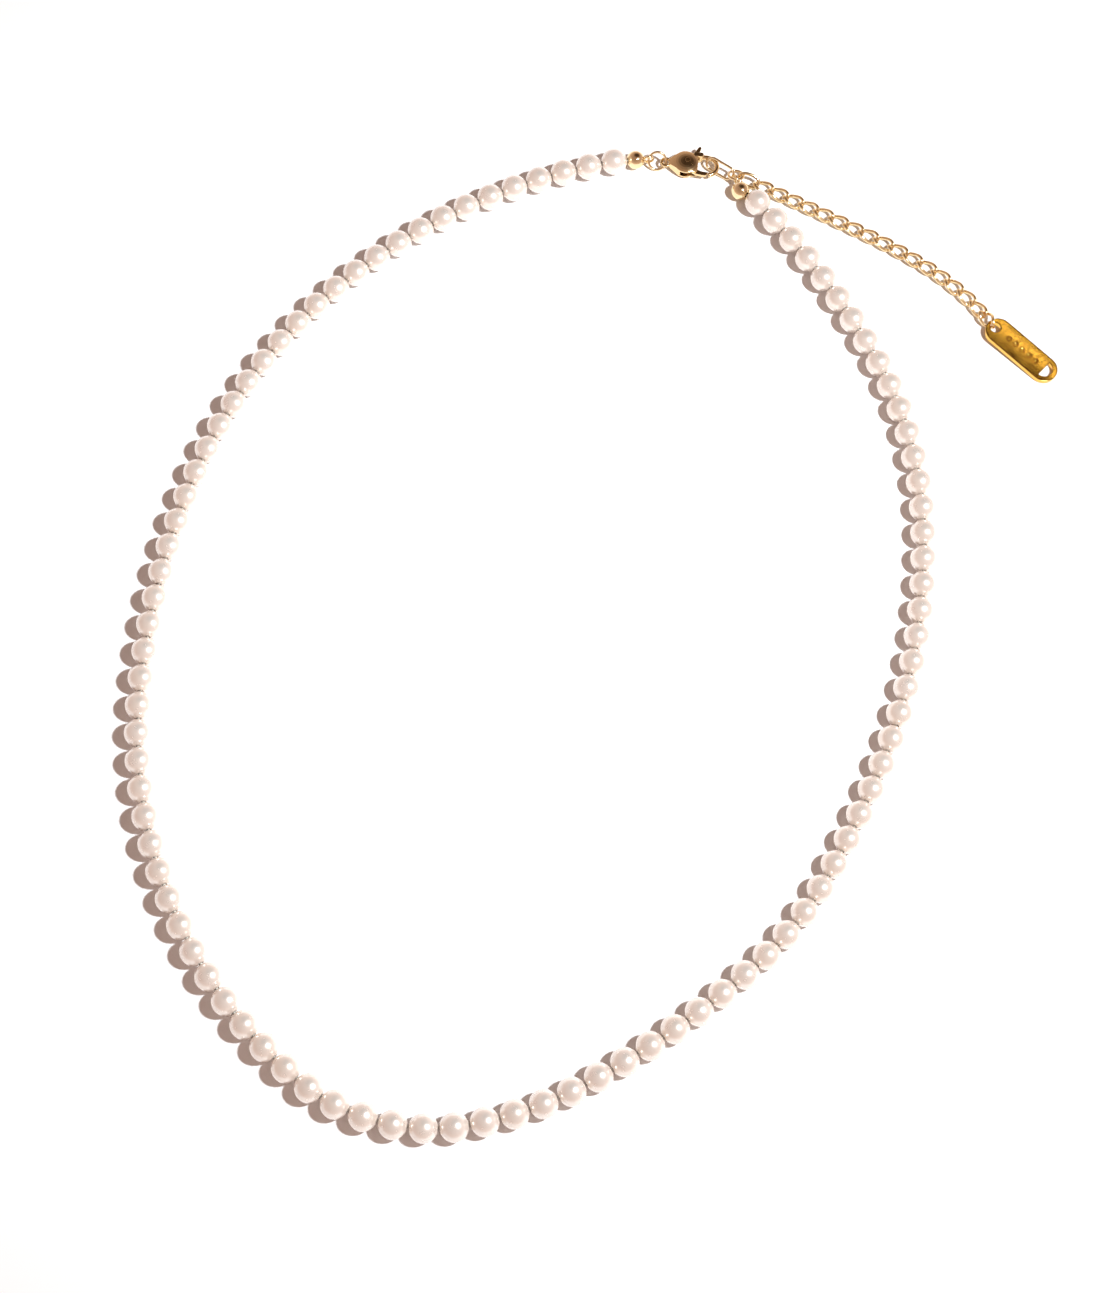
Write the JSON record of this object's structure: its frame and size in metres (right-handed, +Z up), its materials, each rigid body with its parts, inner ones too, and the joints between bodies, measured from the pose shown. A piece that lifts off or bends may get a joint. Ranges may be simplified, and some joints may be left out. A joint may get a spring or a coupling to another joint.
{
  "type": "pearl necklace",
  "caption": "Single strand of small round pearls closed by a lobster clasp, with a twisted-link extender chain and a flat end tag.",
  "frame": {"origin": "under the middle of the laid-out necklace's outline, on the plane it rests on", "axes": "+Z up from the table; +Y from the bottom of the loop towards the clasp; +X towards the extender and tag"},
  "size_m": [0.1358, 0.1524, 0.004],
  "materials": {
    "pearl": "satin white pearl with a pink-beige overtone",
    "thread": "ivory beading thread",
    "ring_gold": "polished yellow gold plate",
    "clasp_gold": "polished yellow gold plate",
    "chain_gold": "polished yellow gold plate",
    "tag_gold": "polished yellow gold plate with a stamped face",
    "spring_steel": "bright spring wire"
  },
  "bodies": {
    "strand_root": {"pearls_root": "pearl", "thread_root": "thread"},
    "strand_left_1": {"pearls_left_1": "pearl", "thread_left_1": "thread"},
    "strand_left_2": {"pearls_left_2": "pearl", "thread_left_2": "thread"},
    "strand_left_3": {"pearls_left_3": "pearl", "thread_left_3": "thread"},
    "strand_left_4": {"pearls_left_4": "pearl", "thread_left_4": "thread"},
    "strand_left_5": {"pearls_left_5": "pearl", "thread_left_5": "thread"},
    "strand_left_6": {"pearls_left_6": "pearl", "thread_left_6": "thread", "bead_tip_left": "ring_gold", "crimp_left": "ring_gold"},
    "strand_right_1": {"pearls_right_1": "pearl", "thread_right_1": "thread"},
    "strand_right_2": {"pearls_right_2": "pearl", "thread_right_2": "thread"},
    "strand_right_3": {"pearls_right_3": "pearl", "thread_right_3": "thread"},
    "strand_right_4": {"pearls_right_4": "pearl", "thread_right_4": "thread"},
    "strand_right_5": {"pearls_right_5": "pearl", "thread_right_5": "thread"},
    "strand_right_6": {"pearls_right_6": "pearl", "thread_right_6": "thread", "bead_tip_right": "ring_gold", "crimp_right": "ring_gold"},
    "jump_ring": {"jump_ring": "ring_gold"},
    "clasp": {"clasp_body": "clasp_gold", "clasp_rivet": "clasp_gold", "clasp_spring": "spring_steel"},
    "clasp_lever": {"clasp_lever": "clasp_gold"},
    "end_ring": {"end_ring": "ring_gold"},
    "hooking_link": {"hooking_link": "ring_gold"},
    "link_01": {"link_01": "chain_gold"},
    "link_02": {"link_02": "chain_gold"},
    "link_03": {"link_03": "chain_gold"},
    "link_04": {"link_04": "chain_gold"},
    "link_05": {"link_05": "chain_gold"},
    "link_06": {"link_06": "chain_gold"},
    "link_07": {"link_07": "chain_gold"},
    "link_08": {"link_08": "chain_gold"},
    "link_09": {"link_09": "chain_gold"},
    "link_10": {"link_10": "chain_gold"},
    "link_11": {"link_11": "chain_gold"},
    "link_12": {"link_12": "chain_gold"},
    "link_13": {"link_13": "chain_gold"},
    "link_14": {"link_14": "chain_gold"},
    "link_15": {"link_15": "chain_gold"},
    "link_16": {"link_16": "chain_gold"},
    "link_17": {"link_17": "chain_gold"},
    "link_18": {"link_18": "chain_gold"},
    "tag": {"tag": "tag_gold"}
  },
  "joints": [
    {"name": "left_bend_1", "type": "hinge", "parent": "strand_root", "child": "strand_left_1", "pos_m": [-0.04825, -0.06208, 0.002], "axis": [0, 0, 1], "range_deg": [-10, 10]},
    {"name": "left_bend_2", "type": "hinge", "parent": "strand_left_1", "child": "strand_left_2", "pos_m": [-0.06588, -0.01806, 0.002], "axis": [0, 0, 1], "range_deg": [-10, 10]},
    {"name": "left_bend_3", "type": "hinge", "parent": "strand_left_2", "child": "strand_left_3", "pos_m": [-0.06417, 0.00204, 0.002], "axis": [0, 0, 1], "range_deg": [-10, 10]},
    {"name": "left_bend_4", "type": "hinge", "parent": "strand_left_3", "child": "strand_left_4", "pos_m": [-0.05566, 0.0289, 0.002], "axis": [0, 0, 1], "range_deg": [-10, 10]},
    {"name": "left_bend_5", "type": "hinge", "parent": "strand_left_4", "child": "strand_left_5", "pos_m": [-0.03588, 0.05418, 0.002], "axis": [0, 0, 1], "range_deg": [-10, 10]},
    {"name": "left_bend_6", "type": "hinge", "parent": "strand_left_5", "child": "strand_left_6", "pos_m": [-0.01915, 0.06541, 0.002], "axis": [0, 0, 1], "range_deg": [-10, 10]},
    {"name": "right_bend_1", "type": "hinge", "parent": "strand_root", "child": "strand_right_1", "pos_m": [-0.00102, -0.06652, 0.002], "axis": [0, 0, 1], "range_deg": [-10, 10]},
    {"name": "right_bend_2", "type": "hinge", "parent": "strand_right_1", "child": "strand_right_2", "pos_m": [0.01561, -0.05509, 0.002], "axis": [0, 0, 1], "range_deg": [-10, 10]},
    {"name": "right_bend_3", "type": "hinge", "parent": "strand_right_2", "child": "strand_right_3", "pos_m": [0.03487, -0.02954, 0.002], "axis": [0, 0, 1], "range_deg": [-10, 10]},
    {"name": "right_bend_4", "type": "hinge", "parent": "strand_right_3", "child": "strand_right_4", "pos_m": [0.04401, -0.00289, 0.002], "axis": [0, 0, 1], "range_deg": [-10, 10]},
    {"name": "right_bend_5", "type": "hinge", "parent": "strand_right_4", "child": "strand_right_5", "pos_m": [0.04559, 0.01721, 0.002], "axis": [0, 0, 1], "range_deg": [-10, 10]},
    {"name": "right_bend_6", "type": "hinge", "parent": "strand_right_5", "child": "strand_right_6", "pos_m": [0.02736, 0.06132, 0.002], "axis": [0, 0, 1], "range_deg": [-10, 10]},
    {"name": "jump_ring_swing", "type": "hinge", "parent": "strand_left_6", "child": "jump_ring", "pos_m": [0.00707, 0.07381, 0.0015], "axis": [0, 0, 1], "range_deg": [-4.6, 4.6]},
    {"name": "clasp_swing", "type": "hinge", "parent": "jump_ring", "child": "clasp", "pos_m": [0.00975, 0.07353, 0.0012], "axis": [0, 0, 1], "range_deg": [-5, 5]},
    {"name": "lever_turn", "type": "hinge", "parent": "clasp", "child": "clasp_lever", "pos_m": [0.01306, 0.07339, 0.0012], "axis": [0, 0, 1], "range_deg": [0, 20], "stiffness_Nm_per_rad": 0.0001, "springref_deg": -20.05},
    {"name": "end_ring_swing", "type": "hinge", "parent": "strand_right_6", "child": "end_ring", "pos_m": [0.02053, 0.07036, 0.0015], "axis": [0, 0, 1], "range_deg": [-1.5, 1.5]},
    {"name": "hooking_link_swing", "type": "hinge", "parent": "end_ring", "child": "hooking_link", "pos_m": [0.02013, 0.07143, 0.00116], "axis": [0, 0, 1], "range_deg": [-2, 2]},
    {"name": "link_01_swing", "type": "hinge", "parent": "end_ring", "child": "link_01", "pos_m": [0.02138, 0.07121, 0.00095], "axis": [0, 0, 1], "range_deg": [-10, 10]},
    {"name": "link_02_swing", "type": "hinge", "parent": "link_01", "child": "link_02", "pos_m": [0.02367, 0.07019, 0.00068], "axis": [0, 0, -1], "range_deg": [-10, 10]},
    {"name": "link_03_swing", "type": "hinge", "parent": "link_02", "child": "link_03", "pos_m": [0.02595, 0.06904, 0.00068], "axis": [0, 0, 1], "range_deg": [-10, 10]},
    {"name": "link_04_swing", "type": "hinge", "parent": "link_03", "child": "link_04", "pos_m": [0.02822, 0.06789, 0.00068], "axis": [0, 0, -1], "range_deg": [-10, 10]},
    {"name": "link_05_swing", "type": "hinge", "parent": "link_04", "child": "link_05", "pos_m": [0.03049, 0.06672, 0.00068], "axis": [0, 0, 1], "range_deg": [-10, 10]},
    {"name": "link_06_swing", "type": "hinge", "parent": "link_05", "child": "link_06", "pos_m": [0.03275, 0.06554, 0.00068], "axis": [0, 0, -1], "range_deg": [-10, 10]},
    {"name": "link_07_swing", "type": "hinge", "parent": "link_06", "child": "link_07", "pos_m": [0.03501, 0.06435, 0.00068], "axis": [0, 0, 1], "range_deg": [-10, 10]},
    {"name": "link_08_swing", "type": "hinge", "parent": "link_07", "child": "link_08", "pos_m": [0.03726, 0.06316, 0.00068], "axis": [0, 0, -1], "range_deg": [-10, 10]},
    {"name": "link_09_swing", "type": "hinge", "parent": "link_08", "child": "link_09", "pos_m": [0.03951, 0.06195, 0.00068], "axis": [0, 0, 1], "range_deg": [-10, 10]},
    {"name": "link_10_swing", "type": "hinge", "parent": "link_09", "child": "link_10", "pos_m": [0.04174, 0.06072, 0.00068], "axis": [0, 0, -1], "range_deg": [-10, 10]},
    {"name": "link_11_swing", "type": "hinge", "parent": "link_10", "child": "link_11", "pos_m": [0.04394, 0.05943, 0.00068], "axis": [0, 0, 1], "range_deg": [-10, 10]},
    {"name": "link_12_swing", "type": "hinge", "parent": "link_11", "child": "link_12", "pos_m": [0.0461, 0.05808, 0.00068], "axis": [0, 0, -1], "range_deg": [-10, 10]},
    {"name": "link_13_swing", "type": "hinge", "parent": "link_12", "child": "link_13", "pos_m": [0.04822, 0.05667, 0.00068], "axis": [0, 0, 1], "range_deg": [-10, 10]},
    {"name": "link_14_swing", "type": "hinge", "parent": "link_13", "child": "link_14", "pos_m": [0.05029, 0.05516, 0.00068], "axis": [0, 0, -1], "range_deg": [-10, 10]},
    {"name": "link_15_swing", "type": "hinge", "parent": "link_14", "child": "link_15", "pos_m": [0.05225, 0.05354, 0.00068], "axis": [0, 0, 1], "range_deg": [-10, 10]},
    {"name": "link_16_swing", "type": "hinge", "parent": "link_15", "child": "link_16", "pos_m": [0.0541, 0.05179, 0.00068], "axis": [0, 0, -1], "range_deg": [-10, 10]},
    {"name": "link_17_swing", "type": "hinge", "parent": "link_16", "child": "link_17", "pos_m": [0.0558, 0.0499, 0.00068], "axis": [0, 0, 1], "range_deg": [-10, 10]},
    {"name": "link_18_swing", "type": "hinge", "parent": "link_17", "child": "link_18", "pos_m": [0.05732, 0.04785, 0.00068], "axis": [0, 0, -1], "range_deg": [-10, 10]},
    {"name": "tag_swing", "type": "hinge", "parent": "link_18", "child": "tag", "pos_m": [0.05853, 0.04568, 0.00104], "axis": [0, 0, 1], "range_deg": [-8, 8]}
  ],
  "couplings": [
    {"joint": "left_bend_4", "follows": "left_bend_1", "ratio": -1},
    {"joint": "left_bend_5", "follows": "left_bend_2", "ratio": -1},
    {"joint": "left_bend_6", "follows": "left_bend_3", "ratio": -1},
    {"joint": "right_bend_1", "follows": "left_bend_3", "ratio": 1},
    {"joint": "right_bend_2", "follows": "left_bend_2", "ratio": 1},
    {"joint": "right_bend_3", "follows": "left_bend_1", "ratio": 1},
    {"joint": "right_bend_4", "follows": "left_bend_3", "ratio": -1},
    {"joint": "right_bend_5", "follows": "left_bend_2", "ratio": -1},
    {"joint": "right_bend_6", "follows": "left_bend_1", "ratio": -1},
    {"joint": "jump_ring_swing", "follows": "clasp_swing", "ratio": -0.8233},
    {"joint": "hooking_link_swing", "follows": "clasp_swing", "ratio": 0.294}
  ]
}
